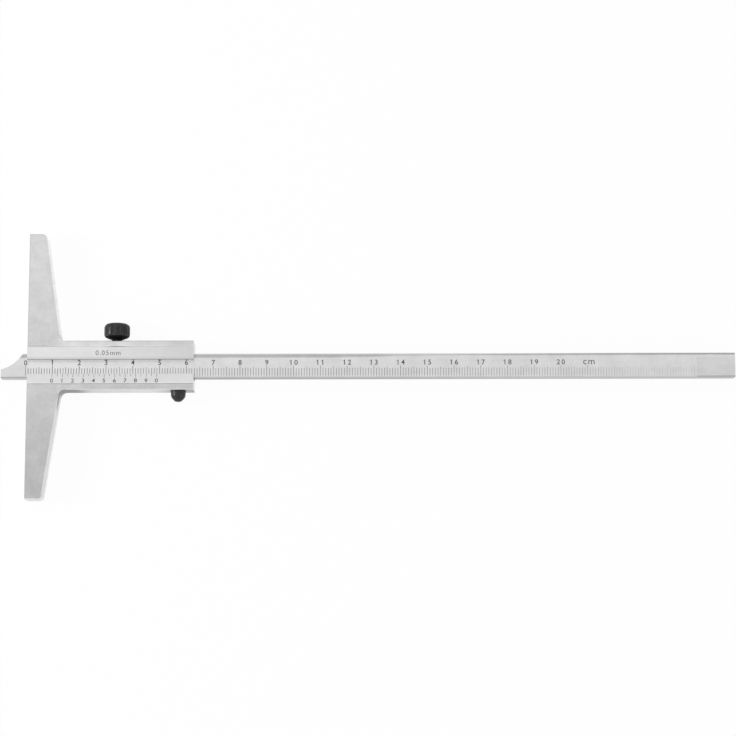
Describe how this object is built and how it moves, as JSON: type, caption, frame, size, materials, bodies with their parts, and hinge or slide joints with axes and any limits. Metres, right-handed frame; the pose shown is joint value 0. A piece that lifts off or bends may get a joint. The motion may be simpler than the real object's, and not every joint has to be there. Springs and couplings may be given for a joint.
{
  "type": "vernier depth gauge",
  "caption": "Vernier depth gauge: a graduated steel beam slides through a T-shaped bridge, with a black fluted lock knob and a small black thumb button.",
  "frame": {"origin": "on the measuring face's plane, on the beam's centre line, at the flat back of the gauge", "axes": "+X along the beam away from the measuring face, so the nose points to -X; +Y along the bridge towards the lock knob; +Z out of the graduated front"},
  "size_m": [0.2746, 0.1, 0.0097],
  "materials": {
    "ground_steel": "fine ground, satin",
    "strip_steel": "satin chrome",
    "beam_steel": "satin, ground along its length",
    "screw_steel": "turned",
    "gib_bronze": "rolled",
    "black_plastic": "black, half gloss"
  },
  "bodies": {
    "bridge": {"bridge_frame": "ground_steel", "upper_guide_strip": "strip_steel", "vernier_strip": "strip_steel", "guide_strip_screws": "screw_steel", "vernier_strip_screws": "screw_steel", "gib_strip": "gib_bronze", "gib_set_screws": "screw_steel", "thumb_button": "black_plastic", "thumb_button_stud": "screw_steel"},
    "beam": {"beam": "beam_steel"},
    "lock_pad": {"lock_thrust_pad": "gib_bronze"},
    "lock_screw": {"lock_knob": "black_plastic", "lock_screw": "screw_steel"}
  },
  "joints": [
    {"name": "beam_slide", "type": "slide", "parent": "bridge", "child": "beam", "axis": [-1, 0, 0], "range_m": [-0.01, 0.19]},
    {"name": "lock_feed", "type": "slide", "parent": "bridge", "child": "lock_pad", "axis": [0, 1, 0], "range_m": [0, 0.001]},
    {"name": "lock_turn", "type": "hinge", "parent": "lock_pad", "child": "lock_screw", "pos_m": [0.033, 0.0158, 0.005], "axis": [0, 1, 0], "range_deg": [0, 720]}
  ],
  "couplings": [
    {"joint": "lock_turn", "follows": "lock_feed", "rad_per_m": 12566}
  ]
}
